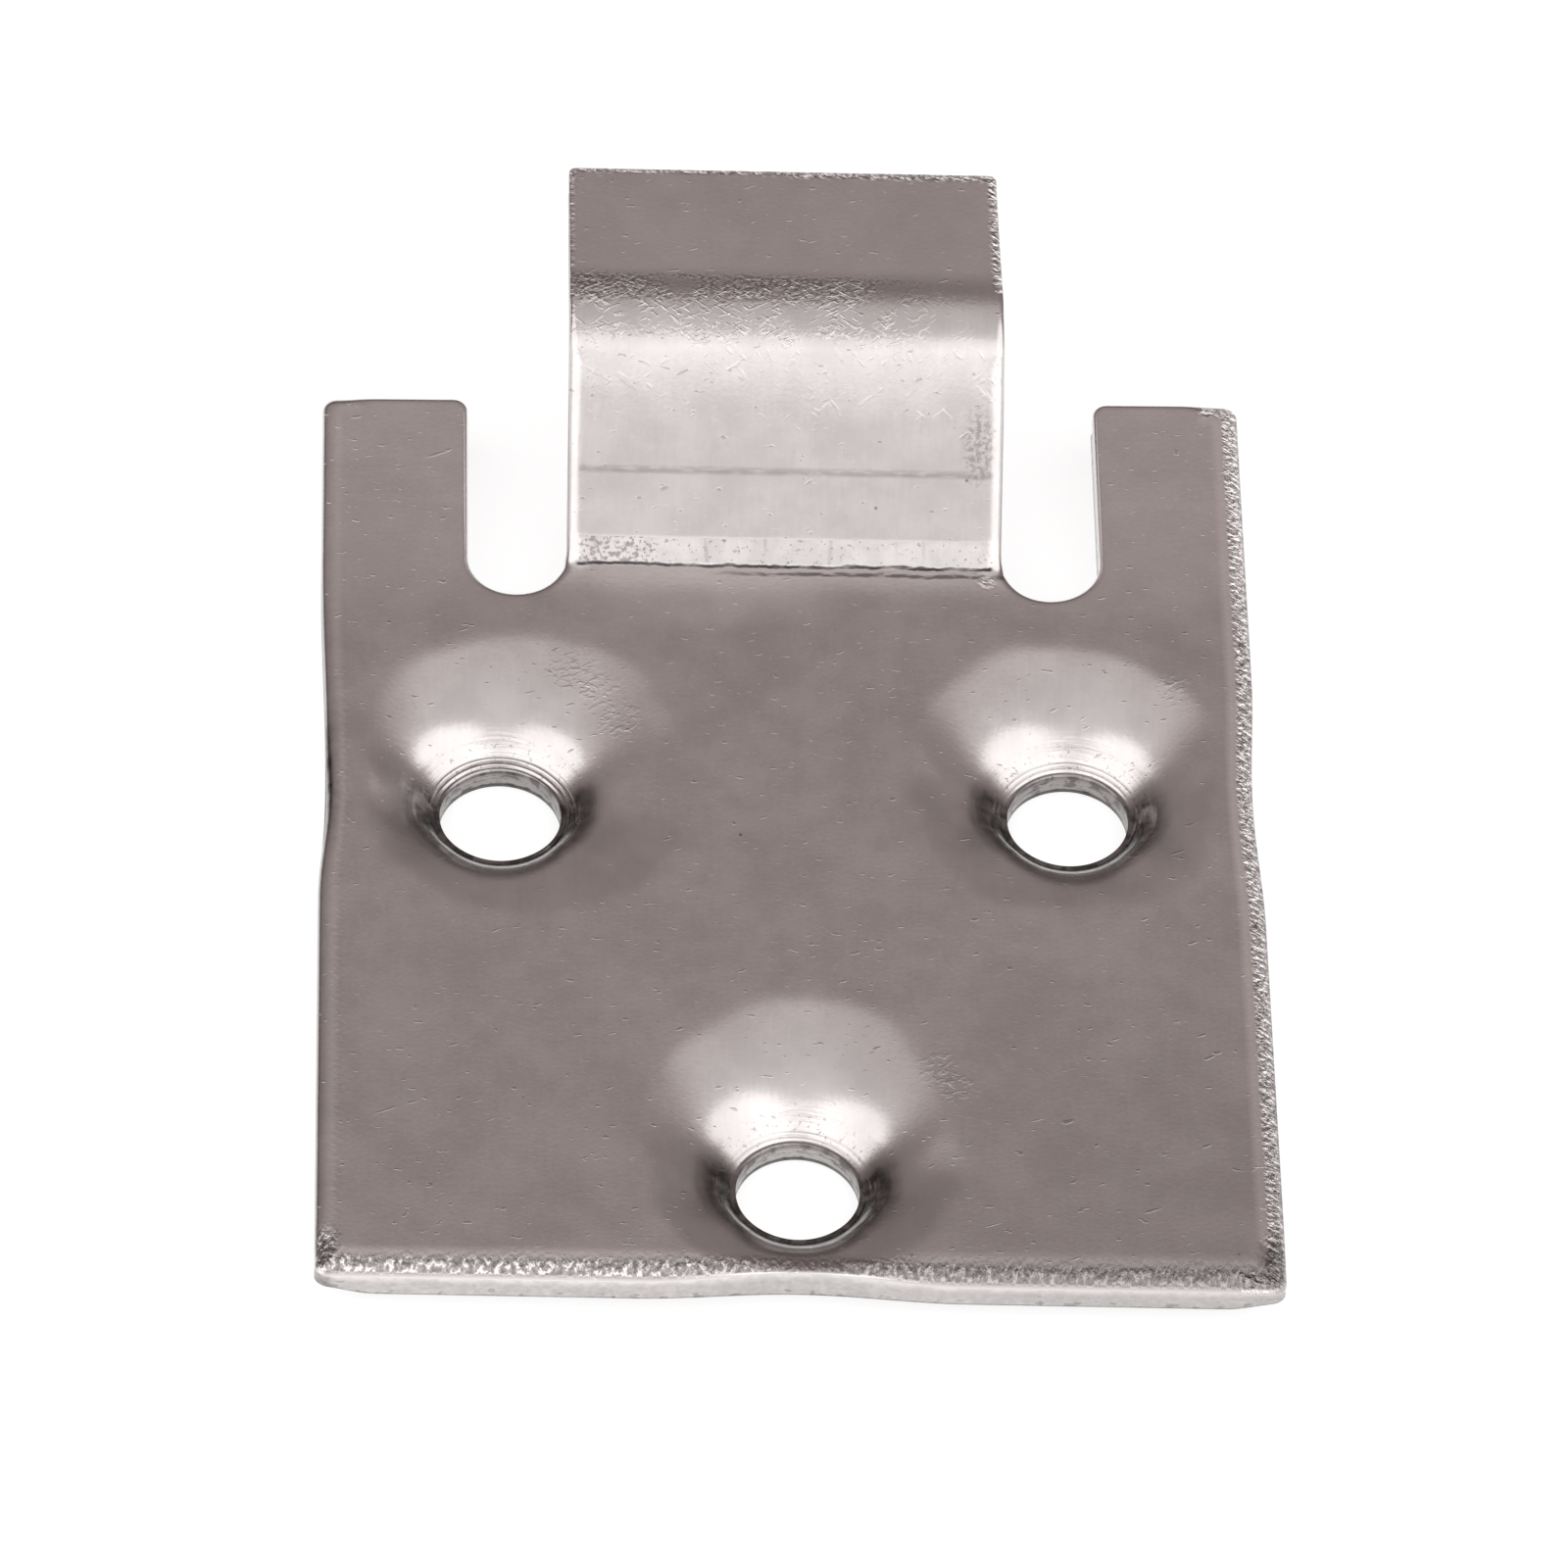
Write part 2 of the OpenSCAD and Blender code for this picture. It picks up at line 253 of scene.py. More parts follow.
def roll(x, s):
    """Width, height and roundness of the rolled-over edge at (x, s)."""
    near = 1 - smooth(1.5, 4.5, s)
    calm = 1 - CALM_SHARE * bell(x, CALM_L)
    end = smooth(crest_s + 3, crest_s + 4.5, s)
    rising_side = (np.abs(x) < SLOT_X) * smooth(FOLD - 1, FOLD + 1, s)
    rising_side = rising_side * (1 - smooth(crest_s - 0.8, crest_s + 0.6, s))
    wide = ROLL_W + RIGHT_ROLL_W * smooth(SIDE_FROM, SIDE_TO, x)
    wide = wide + LEFT_ROLL_W * smooth(SIDE_FROM, SIDE_TO, -x) + RISING_ROLL_W * rising_side
    high = ROLL_H + SIDE_ROLL_H * smooth(SIDE_FROM, SIDE_TO, np.abs(x))
    high = high - END_ROLL_H * end + RISING_ROLL_H * rising_side
    wide = wide + near * (NEAR_ROLL_W - wide) * (0.35 + 0.65 * calm)
    high = high + near * (NEAR_ROLL_H * calm - high)
    return wide, high, ROLL_POWER + RISING_POWER * rising_side


def place(x, s, edge, under=False):
    """The point of the upper or lower face at (x, s), edge millimetres in from the cut edge."""
    tabbed = (np.abs(x) < SLOT_X) & (s > LIFT_S)
    armed = np.abs(x) > SLOT_X
    lifted = np.where(s < FOLD, 1 - smooth(HALF_TAB + 0.2, SLOT_X - 0.1, np.abs(x)), 1)
    angle = np.where(tabbed, np.interp(s, fold_s, fold_angle) * lifted, 0)
    y = np.where(tabbed, s + (np.interp(s, fold_s, fold_y) - s) * lifted, s)
    z = np.where(tabbed, np.interp(s, fold_s, fold_z) * lifted, 0)
    z = z + np.where(armed, ARM_LIFT * np.maximum(s - ARM_FROM, 0) ** 2 / ARM_L, 0)
    near = 1 - smooth(0, 4, s)
    y = y - x * SKEW * near + NEAR_DRAW * bell(x, NEAR_DRAW_L) * near
    y = y - x * FOLD_SKEW * smooth(FOLD - 7, FOLD - 1, s) * (1 - smooth(15, SLOT_OUT, np.abs(x)))
    y = y + x * ARM_SKEW * smooth(66, 74, s) * armed
    past_hole = s - HOLES[1][1]
    past_hole = np.where((x < 0) & (past_hole > 0), past_hole * LEFT_STRETCH, past_hole)
    side = SIDE_DRAW * bell(past_hole - np.where(x < 0, LEFT_SHIFT, 0), SIDE_DRAW_L)
    side = side * smooth(HALF_W - 5, HALF_W, np.abs(x))
    if under:
        corner = smooth(27.8, 31.7, np.abs(x)) * (1 - smooth(0, 3, s))
        room = UNDER_DEPTH - (SHEET + dimple(x, s, True) - THIN_CORNER * corner)
        drop = UNDER_DEPTH - rounded_rise(room, CORNER_SOFT)
    else:
        side = side + RIM_DRAW * bell(s - RIM_DRAW_S, RIM_DRAW_L) * smooth(HALF_W - 3, HALF_W, -x)
        wide, high, power = roll(x, s)
        over = np.clip(1 - edge / wide, 0, 1)
        drop = dimple(x, s, False) + high * (1 - np.sqrt(1 - (ROLL_SHARE * over) ** power))
    taper = TAB_TAPER * tabbed * np.maximum(x / HALF_TAB, 0) * smooth(crest_s, tab_s, s)
    x = x - np.sign(x) * side - taper
    return np.column_stack([x, y - MID_Y + drop * np.sin(angle), FACE_Z + z - drop * np.cos(angle)])


# The stamped plate as one closed surface: rings follow the cut edges and the holes, and a net of even
# triangles fills what is between. Each vertex keeps its place on the flat sheet, its distance from the cut
# edge and how far down a cut wall it lies, because the plate's wear follows them.
EDGE_RINGS = [0, 0.03, 0.08, 0.16, 0.27, 0.42]
ROLL_RINGS = [0.6, 0.8, 1.0, 1.2]
UNDER_RINGS = [0, 0.1, 0.42]
# Rings down the cut wall, each with its share of the way down and how far it stands out.
WALL = [(0.08, 0.0), (0.22, 0.0), (0.38, 0.0), (0.5, -0.02), (0.62, -0.05), (0.8, -0.07), (0.94, -0.05)]
# Depth marks of the upper face, the cut wall's foot and the lower face, and the edge mark far from any edge.
UPPER, FOOT, LOWER = 0, 1, 2
FAR_IN = 9.0
NET_STEP, NET_GAP, RING_GAP, CELL = 0.5, 0.2, 0.22, 0.2
SPLITS = 6
RING_N = 120
NEAR_ENOUGH, SLIVER = 1e-7, 1e-4
# The net's rows along the sheet: each stretch's first place, end and step, which is finer at the folds.
ROWS = [
    (0.46, FOLD - 0.7, NET_STEP),
    (FOLD - 0.5, FOLD + 0.3, 0.08),
    (FOLD + 0.45, BAND_END - 0.2, 0.3),
    (BAND_END - 0.1, BAND_END + 0.4, 0.1),
    (BAND_END + 0.7, MARK_S - 0.5, 0.45),
    (MARK_S - 0.35, MARK_S + 0.4, 0.07),
    (MARK_S + 0.8, crest_s - 0.2, 0.45),
    (crest_s, level_s + 2.6, 0.22),
    (level_s + 2.9, tab_s, NET_STEP),
]

rows = np.concatenate([np.arange(*stretch) for stretch in ROWS])
columns = np.arange(-HALF_W + NET_STEP, HALF_W, NET_STEP)
net_x, net_s = (a.ravel() for a in np.meshgrid(columns, rows))

edge_points = kdtree.KDTree(len(outline) * SPLITS)
for split in range(SPLITS):
    shifted = outline + (np.roll(outline, -1, axis=0) - outline) * split / SPLITS
    for number, point in enumerate(shifted):
        edge_points.insert((point[0], point[1], 0), number * SPLITS + split)
edge_points.balance()


def edge_distance(px, ps):
    """Distance of each point from the nearest cut edge of the outline."""
    return np.array([edge_points.find((x, s, 0))[2] for x, s in zip(px, ps)])


def inside(px, ps, loop):
    """Which points lie inside a closed loop."""
    result = np.zeros(len(px), bool)
    for (ax, ay), (bx, by) in zip(loop, np.roll(loop, -1, axis=0)):
        if ay != by:
            result ^= ((ay > ps) != (by > ps)) & (px < (bx - ax) * (ps - ay) / (by - ay) + ax)
    return result


inner_loop = outline - outward * EDGE_RINGS[-1]
keep = inside(net_x, net_s, inner_loop)
net_x, net_s = net_x[keep], net_s[keep]
net_edge = edge_distance(net_x, net_s)
keep = net_edge > ROLL_RINGS[-1] + NET_GAP
for number in range(len(HOLES)):
    keep &= around(net_x, net_s, number)[0] > SCREEN_R + RING_GAP
net_x, net_s, net_edge = net_x[keep], net_s[keep], net_edge[keep]
for ring in ROLL_RINGS:
    px, ps = (outline - outward * ring).T
    ring_edge = edge_distance(px, ps)
    cells = np.round(np.column_stack([px, ps]) / CELL)
    keep = np.isin(np.arange(len(px)), np.unique(cells, axis=0, return_index=True)[1])
    keep &= ring_edge > ring - 0.02
    net_x, net_s = np.concatenate([net_x, px[keep]]), np.concatenate([net_s, ps[keep]])
    net_edge = np.concatenate([net_edge, ring_edge[keep]])

ring_turn = 2 * math.pi * np.arange(RING_N) / RING_N
ring_x, ring_s = np.cos(ring_turn), np.sin(ring_turn)
screens = [np.column_stack([x + SCREEN_R * ring_x, s + SCREEN_R * ring_s]) for x, s in HOLES]
net_points = np.concatenate([inner_loop, *screens, np.column_stack([net_x, net_s])])
net_edges = []
start = 0
for count in [len(inner_loop)] + [RING_N] * len(HOLES):
    net_edges += [(start + k, start + (k + 1) % count) for k in range(count)]
    start += count
net_verts, _, net_faces, *_ = delaunay_2d_cdt([Vector(p) for p in net_points], net_edges, [], 0, NEAR_ENOUGH)
net = np.array([v[:] for v in net_verts])
assert len(net) == len(net_points), "the net gained a vertex"
triangles = np.array([f[:] for f in net_faces if len(f) == 3])
middle_x, middle_s = net[triangles].mean(axis=1).T
keep = inside(middle_x, middle_s, inner_loop)
for number in range(len(HOLES)):
    keep &= around(middle_x, middle_s, number)[0] > SCREEN_R * math.cos(math.pi / RING_N) - SLIVER
triangles = triangles[keep]

points, faces, marks = [], [], []


def lay(xyz, x, s, edge, depth):
    """Adds vertices with their marks and returns the number of the first."""
    first = sum(len(ring) for ring in points)
    points.append(xyz)
    marks.append(np.column_stack([x, s, np.broadcast_to(edge, len(x)), np.broadcast_to(depth, len(x))]))
    return first


def band(first_ring, second_ring, count):
    """Quads between two closed rings of the same count."""
    k = np.arange(count)
    n = (k + 1) % count
    quads = np.column_stack([first_ring + k, first_ring + n, second_ring + n, second_ring + k])
    faces.extend(quads.tolist())


deep_in = np.full(len(HOLES) * RING_N, FAR_IN)
net_edge = np.concatenate([np.full(len(inner_loop), EDGE_RINGS[-1]), deep_in, net_edge])
net_x, net_s = net.T
top = lay(place(net_x, net_s, net_edge), net_x, net_s, net_edge, UPPER)
low = lay(place(net_x, net_s, net_edge, True), net_x, net_s, net_edge, LOWER)
faces.extend((top + triangles).tolist())
faces.extend((low + triangles[:, ::-1]).tolist())

count = len(outline)
rim_x, rim_s = outline.T
last = top
for edge in EDGE_RINGS[-2::-1]:
    px, ps = (outline - outward * edge).T
    ring = lay(place(px, ps, edge), px, ps, edge, UPPER)
    band(ring, last, count)
    last = ring
upper_rim = place(rim_x, rim_s, 0)
lower_rim = place(rim_x, rim_s, 0, True)
rim_ahead = np.roll(upper_rim + lower_rim, -1, axis=0) - np.roll(upper_rim + lower_rim, 1, axis=0)
rim_out = np.cross(rim_ahead, upper_rim - lower_rim)
rim_out /= np.linalg.norm(rim_out, axis=1)[:, None]
for share, out in WALL:
    wall = upper_rim + (lower_rim - upper_rim) * share + rim_out * out
    ring = lay(wall, rim_x, rim_s, 0, share)
    band(ring, last, count)
    last = ring
for edge in UNDER_RINGS[:-1]:
    px, ps = (outline - outward * edge).T
    ring = lay(place(px, ps, edge, True), px, ps, edge, LOWER if edge else FOOT)
    band(ring, last, count)
    last = ring
band(low, last, count)

# Inside each hole the punch left a smooth band under the lip, a line where the steel tore, and a slightly
# wider, broken-out band below it. Each ring has its depth under the face and how much wider it is.
TOP_RADII = [7.3, 7.0, 6.7, 6.4, 6.1, 5.8, 5.6] + [5.45 - 0.06 * k for k in range(22)] + [4.125, 4.1, 4.085]
BORE_TOP, BORE_L = 3.0, 1.5
BORE_BAND = [(BORE_TOP, 0.0), (3.22, 0.0), (3.26, -0.025), (3.32, 0.0), (3.5, 0.0)]
BORE_FOOT = [(3.56, 0.04), (3.9, 0.05), (4.2, 0.03), (4.42, 0.05)]
UNDER_RADII = [4.32, 4.7, 5.2, 5.6, 5.9, 6.1, 6.35, 6.6, 6.9, 7.2, 7.4]
for number, (hole_x, hole_s) in enumerate(HOLES):
    last = top + count + number * RING_N
    for r in TOP_RADII:
        x, s = hole_x + r * ring_x, hole_s + r * ring_s
        ring = lay(place(x, s, np.full(RING_N, FAR_IN)), x, s, FAR_IN, UPPER)
        band(last, ring, RING_N)
        last = ring
    for depth, wider in BORE_BAND + BORE_FOOT:
        x, s = hole_x + (HOLE_R + wider) * ring_x, hole_s + (HOLE_R + wider) * ring_s
        wall = np.column_stack([x, s - MID_Y, np.full(RING_N, FACE_Z - depth)])
        ring = lay(wall, x, s, 0, (depth - BORE_TOP) / BORE_L)
        band(last, ring, RING_N)
        last = ring
    for r in UNDER_RADII:
        x, s = hole_x + r * ring_x, hole_s + r * ring_s
        ring = lay(place(x, s, np.full(RING_N, FAR_IN), True), x, s, FAR_IN, LOWER)
        band(last, ring, RING_N)
        last = ring
    band(last, low + count + number * RING_N, RING_N)

mesh = bpy.data.meshes.new("anchor_plate_steel")
mesh.from_pydata((np.concatenate(points) * MM).tolist(), [], faces)
mesh.shade_smooth()

# The wear and painted shade on the plate, vertex by vertex: dirt in the punch's grooves and round the holes'
# rims, painted shade inside the near sides of the holes, a painted dark reflection along the drawn-in left
# rim and painted shade along the right rim's outer edge, grain that opened where the shears and the die
# worked the edges, and edges rubbed bright in the tumbler.
NEAR_SIDE_SHADE, RIM_DIRT, RIM_DIRT_FROM, RIM_DIRT_TO = 0.95, 0.85, HOLE_R + 0.065, HOLE_R + 0.165
PINCH_S, PINCH_L, PINCH_X = 42.3, 6.5, -30
SIDE_X, SHARP_X = 29, 31
RIGHT_SHOULDER, LEFT_SHOULDER, SHOULDER_L = 1.35, 0.9, 0.6
LOWER_GRAIN, WALL_GRAIN = 0.05, 0.15
mark_x, mark_s, edge, cut = np.concatenate(marks).T
upper = cut == UPPER
hole_r = np.min([around(mark_x, mark_s, number)[0] for number in range(len(HOLES))], axis=0)
deepest = max(form["ridge"] for form in DISHES)
dirt_and_shade = np.zeros(len(mark_x))
for number, form in enumerate(DISHES):
    r, turn = around(mark_x, mark_s, number)
    wave = np.maximum(ridge_wave(r, turn, number), 0)
    groove = form["ridge"] / deepest * wave * ridged(r, turn) * (1 - smooth(4.9, 5.3, r))
    # Painted shade on each hole's near side, where the cone faces away from the light.
    near_side_shade = NEAR_SIDE_SHADE * (1 - smooth(5.2, 7.2, r)) * (1 - smooth(0.15, 0.55, np.sin(turn)))
    rim = RIM_DIRT * (1 - smooth(RIM_DIRT_FROM, RIM_DIRT_TO, r))
    dirt_and_shade = np.maximum(dirt_and_shade, np.max([groove, near_side_shade, rim], axis=0))
# Painted dark reflection on the left rim where it is drawn in beside the dimple.
pinched_dark_reflection = bell(mark_s - PINCH_S, PINCH_L) * (mark_x < PINCH_X) * (1 - smooth(0.25, 0.5, edge))
# Painted shade along the right rim's outermost edge.
right_rim_shade = 0.4 * (1 - smooth(0.04, 0.2, edge)) * (mark_x > SHARP_X)
dirt_and_shade = np.max([dirt_and_shade, pinched_dark_reflection, right_rim_shade], axis=0) * upper

near_roll = smooth(0.1, 0.26, edge) * (1 - smooth(1.2, 1.7, edge))
near_roll = near_roll * (1 - smooth(3, 4.5, mark_s)) * (1 - 0.4 * bell(mark_x, 8)) * upper
on_right, on_left = mark_x > SIDE_X, mark_x < -SIDE_X
on_end = mark_s > level_s
right_side = (1 - smooth(0.9, 1.15, edge)) * on_right
left_side = 0.05 * bell(edge - RIGHT_SHOULDER, 0.5) * on_left * (mark_s < 52)
tab_end = (1 - smooth(0.25, 0.5, edge)) * on_end * (mark_s > tab_s - 1.2)
tab_right = (1 - smooth(0.4, 0.7, edge)) * on_end * (mark_x > 0)
tab_left = 0.3 * (1 - smooth(0.2, 0.5, edge)) * on_end * (mark_x < 0)
worked = np.max([right_side, left_side, tab_end, tab_right, tab_left], axis=0)
worked = np.where(upper, worked, np.where(cut == LOWER, LOWER_GRAIN, WALL_GRAIN))

shoulder = bell(edge - RIGHT_SHOULDER, SHOULDER_L) * on_right
shoulder = np.maximum(shoulder, 0.55 * bell(edge - LEFT_SHOULDER, SHOULDER_L) * on_left)
crisp = (1 - smooth(0.06, 0.16, edge)) * (1 - smooth(1.5, 2.5, mark_s)) * (1 - smooth(0.12, 0.3, cut))
polish = np.maximum(shoulder * (mark_s > 3) * upper, crisp * (cut < LOWER))

sheet_place = mesh.attributes.new("sheet_place", "FLOAT_VECTOR", "POINT")
sheet_place.data.foreach_set("vector", np.column_stack([mark_x, mark_s, cut * SHEET]).ravel())
for name, value in (
    ("worked_grain", worked),
    ("near_grain", near_roll),
    ("cut_depth", cut),
    ("hole_distance", hole_r),
    ("dirt_and_painted_shade", dirt_and_shade),
    ("rubbed", polish),
):
    attribute = mesh.attributes.new(name, "FLOAT", "POINT")
    attribute.data.foreach_set("value", np.ascontiguousarray(value, np.float32))
plate = bpy.data.objects.new("anchor_plate_steel", mesh)
bpy.context.collection.objects.link(plate)
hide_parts("anchor_plate")
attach(plate, "root")

# Rolled steel sheet, tumbled after stamping: a dull satin grey with soft clouds, fine grain and light scuffs.
# Where the sheet was stretched, over the crest and along the rolled edges, its grain opened up and glitters.
# The patterns lie on the flat sheet, whose places are in millimetres, so each scale is in cells to the mm.
steel = bpy.data.materials.new("tumbled_rolled_steel")
steel.use_nodes = True
tree = steel.node_tree
shader = tree.nodes["Principled BSDF"]
shader.inputs["Metallic"].default_value = 1.0


def linear(code):
    """Linear colour of an sRGB hex code."""
    parts = [int(code[k : k + 2], 16) / 255 for k in (1, 3, 5)]
    return tuple(c / 12.92 if c <= 0.04045 else ((c + 0.055) / 1.055) ** 2.4 for c in parts) + (1.0,)


def add(tree, kind, inputs=None, out=0, **settings):
    """Adds one node with its settings, sets or links its inputs, and returns one of its outputs."""
    made = tree.nodes.new("ShaderNode" + kind)
    for name, value in settings.items():
        setattr(made, name, value)
    for name, value in (inputs or {}).items():
        if isinstance(value, bpy.types.NodeSocket):
            tree.links.new(value, made.inputs[name])
        else:
            made.inputs[name].default_value = value
    return made.outputs[out]


sheet = add(tree, "Attribute", out="Vector", attribute_name="sheet_place")
split_sheet = add(tree, "SeparateXYZ", {"Vector": sheet}).node
across, along = split_sheet.outputs["X"], split_sheet.outputs["Y"]
worked_grain, near_grain, cut_depth, hole_distance, dirt_and_painted_shade, rubbed = (
    add(tree, "Attribute", out="Fac", attribute_name=name)
    for name in ("worked_grain", "near_grain", "cut_depth", "hole_distance", "dirt_and_painted_shade", "rubbed")
)


def combine(operation, *values):
    """Takes sockets and numbers together, two at a time, in one kind of arithmetic."""
    result = values[0]
    for value in values[1:]:
        result = add(tree, "Math", {0: result, 1: value}, operation=operation)
    return result


def product_of(*values):
    """Product of sockets and numbers."""
    return combine("MULTIPLY", *values)


def total_of(*values):
    """Sum of sockets and numbers."""
    return combine("ADD", *values)


def most_of(*values):
    """The largest of sockets and numbers."""
    return combine("MAXIMUM", *values)


def soft_step(value, zero, one, top=1.0):
    """0 at zero and beyond, top at one and beyond, and a soft S between. Either may be the larger."""
    ends = {"Value": value, "From Min": zero, "From Max": one, "To Min": 0.0, "To Max": top}
    return add(tree, "MapRange", ends, interpolation_type="SMOOTHSTEP")


def zone(value, low, high, soft):
    """1 between low and high, fading over the soft width outside."""
    return product_of(soft_step(value, low - soft, low), soft_step(value, high + soft, high))


def spot(x, s, reach, tall=1.0):
    """1 near the point (x, s) of the sheet, fading to 0 at the reach."""
    place_in = {"Vector": sheet, "Location": (-x, -s * tall, 0.0), "Scale": (1.0, tall, 0.0)}
    away = add(tree, "VectorMath", {0: add(tree, "Mapping", place_in)}, out="Value", operation="LENGTH")
    return soft_step(away, reach, 0.3 * reach)


def drawn_out(per_mm, detail, rough=0.5, angle=0, shift=(0, 0, 0)):
    """Noise with its own cells to the millimetre across, along and through the sheet, turned by an angle."""
    turn = {"Vector": sheet, "Angle": math.radians(angle)}
    turned = add(tree, "VectorRotate", turn, rotation_type="Z_AXIS")
    moved = add(tree, "Mapping", {"Vector": turned, "Location": shift, "Scale": per_mm})
    return add(tree, "TexNoise", {"Vector": moved, "Scale": 1.0, "Detail": detail, "Roughness": rough})


# Families of short scratches, each with its angle in degrees, how many lie side by side in a millimetre, its
# length in millimetres, a seed, and the height of the noise from which it shows and is whole.
SCRATCHES = {
    "scuffs": [(-24, 3.0, 0.6, 2.9, 0.54, 0.66), (25, 3.2, 0.5, 8.3, 0.56, 0.68)],
    "ticks": [(4, 3.0, 0.7, 21.7, 0.72, 0.78), (-20, 2.2, 1.6, 5.3, 0.75, 0.8)],
    "crest": [(35, 4.0, 1.0, 3.1, 0.6, 0.68), (-28, 4.2, 0.9, 7.7, 0.6, 0.68)],
    "before_crest": [(48, 2.4, 1.3, 11.3, 0.64, 0.72), (-38, 2.2, 1.2, 17.9, 0.64, 0.72)],
    "band_seams": [(90, 1.3, 6.0, 9.1, 0.6, 0.7)],
}


def scratches(family):
    """A family's scratches: noise drawn out along each angle, cut to its peaks."""
    cuts = []
    for angle, dense, long, seed, low, high in SCRATCHES[family]:
        pattern = drawn_out((1 / long, dense, 1.0), 1.0, 0.4, angle, (seed, seed * 1.7, seed))
        cuts.append(soft_step(pattern, low, high))
    return total_of(*cuts)


# Clouds 6 mm wide, patches of 3 mm, ragged edges of 1 mm and fine grain of a third of a millimetre. Real
# grain is finer still, and is drawn as coarse as it needs to show. Where it opened, it lies in dashes.
GRAIN_ANGLE = 35
clouds = add(tree, "TexNoise", {"Vector": sheet, "Scale": 0.16, "Detail": 4.0, "Roughness": 0.6})
patchy = add(tree, "TexNoise", {"Vector": sheet, "Scale": 0.35, "Detail": 3.0})
ragged = add(tree, "TexNoise", {"Vector": sheet, "Scale": 1.1, "Detail": 4.0})
fine = add(tree, "TexNoise", {"Vector": sheet, "Scale": 3.0, "Detail": 3.0, "Roughness": 0.6})
crest_grain = add(tree, "TexNoise", {"Vector": sheet, "Scale": 3.2, "Detail": 2.0})
open_grain = drawn_out((1.8, 2.9, 2.0), 2.0, angle=GRAIN_ANGLE)
near_dashes = drawn_out((2.9, 1.6, 2.0), 2.0)
drawn = drawn_out((3.2, 0.5, 1.0), 1.0)
rough_line = drawn_out((0.8, 3.0, 1.0), 3.0)

# Places on the sheet, each with x, s, its reach and, where it isn't round, how much flatter it is: scuffs
# beside the dimples' upper right sides, a rough burr where the fold's right end was torn, dense specks at the
# band's left end, a smudge on the rising face, a painted reflection of the rising face on the plate before
# the fold, and a painted highlight on the far side of the near hole's cone.
SCUFFS = [
    (-14.6, 51.4, 2.4),
    (-13.0, 49.6, 2.2),
    (-11.4, 47.6, 2.0),
    (26.4, 50.4, 1.8),
    (9.4, 17.6, 1.8),
    (10.6, 15.8, 1.8),
]
BURR = (HALF_TAB - 1.0, FOLD - 0.9, 0.8)
DENSE_SPECKS = (-12.0, FOLD + 0.9, 4.5, 0.6)
SMUDGE = (13.2, 69.4, 1.5, 0.4)
PAINTED_RAMP_REFLECTION = (-6.0, 58.0, 11.0, 3.2)
NEAR_HOLE_HIGHLIGHT = (0.0, 14.5, 5.0)
scuffed = total_of(*(spot(*scuff) for scuff in SCUFFS))
scuffs = product_of(scratches("scuffs"), scuffed)
ticks = scratches("ticks")
burr = spot(*BURR)

# The crest's open grain lies mostly on its left two thirds, and fades to the right.
on_tab = zone(across, -HALF_TAB, HALF_TAB, 0.5)
leftward = product_of(soft_step(across, 15.0, -1.0), on_tab)
crest_dark = product_of(zone(along, level_s - 0.6, level_s + 0.8, 1.0), leftward)
crest_dark = product_of(crest_dark, soft_step(patchy, 0.36, 0.52))
crest_zone = product_of(zone(along, crest_s + 1.4, level_s + 0.9, 1.0), leftward)
scratched = product_of(zone(along, crest_s + 1.0, level_s + 0.4, 0.8), leftward)
scratched = product_of(scratched, soft_step(patchy, 0.4, 0.55))
crest_cuts = product_of(scratches("crest"), scratched)
few = product_of(scratches("before_crest"), on_tab, zone(along, crest_s - 4.0, crest_s + 1.0, 1.0))
few = product_of(few, soft_step(patchy, 0.42, 0.55))

# Fine rings that the press turned into the cones, 0.2 mm apart.
ring_place = {"X": product_of(hole_distance, 5.0), "Y": product_of(across, 0.3), "Z": product_of(along, 0.3)}
ring_place = add(tree, "CombineXYZ", ring_place)
turned_rings = add(tree, "TexNoise", {"Vector": ring_place, "Scale": 1.0, "Detail": 2.0})

# The relief, in units of 0.12 mm. Just above its mark the die drew the rising face into faint ribs.
RELIEF = 0.00012
ribbed = total_of(0.012, product_of(zone(along, MARK_S, MARK_S + 2.0, 1.0), 0.07))
height = total_of(
    product_of(fine, 0.06),
    product_of(drawn, ribbed),
    product_of(total_of(open_grain, -0.5), worked_grain, 3.3),
    product_of(total_of(crest_grain, -0.5), most_of(crest_dark, product_of(crest_zone, 0.3)), 0.9),
    product_of(crest_cuts, 0.3),
    product_of(few, 0.06),
    product_of(ticks, 0.11),
    product_of(scuffs, 0.08),
    product_of(total_of(near_dashes, -0.5), near_grain, 1.5),
    product_of(turned_rings, soft_step(hole_distance, 7.4, 5.8), 0.14),
    product_of(total_of(open_grain, -0.5), burr, 2.0),
)
bump = add(tree, "Bump", {"Height": height, "Strength": 1.0, "Distance": RELIEF})
tree.links.new(bump, shader.inputs["Normal"])

# The colour starts as two close greys in clouds, and each mark is laid over it. A colour mix has its two
# colours in inputs 6 and 7 and its result in output 2.
COLOUR_A, COLOUR_B, COLOUR_OUT = 6, 7, 2
BURNISHED, DULL, GREY, DARK, SCALE = "#f4f0ef", "#8d8887", "#6a6665", "#5a5655", "#4a4645"


def blend(colour, amount, code):
    """Mixes a colour in where amount is high."""
    sides = {0: amount, COLOUR_A: colour, COLOUR_B: linear(code)}
    return add(tree, "Mix", sides, out=COLOUR_OUT, data_type="RGBA")


mottle = total_of(product_of(clouds, 0.46), product_of(patchy, 0.42), product_of(drawn, 0.12))
tone = blend(linear("#c4c0bf"), soft_step(mottle, 0.38, 0.62), "#cecac9")

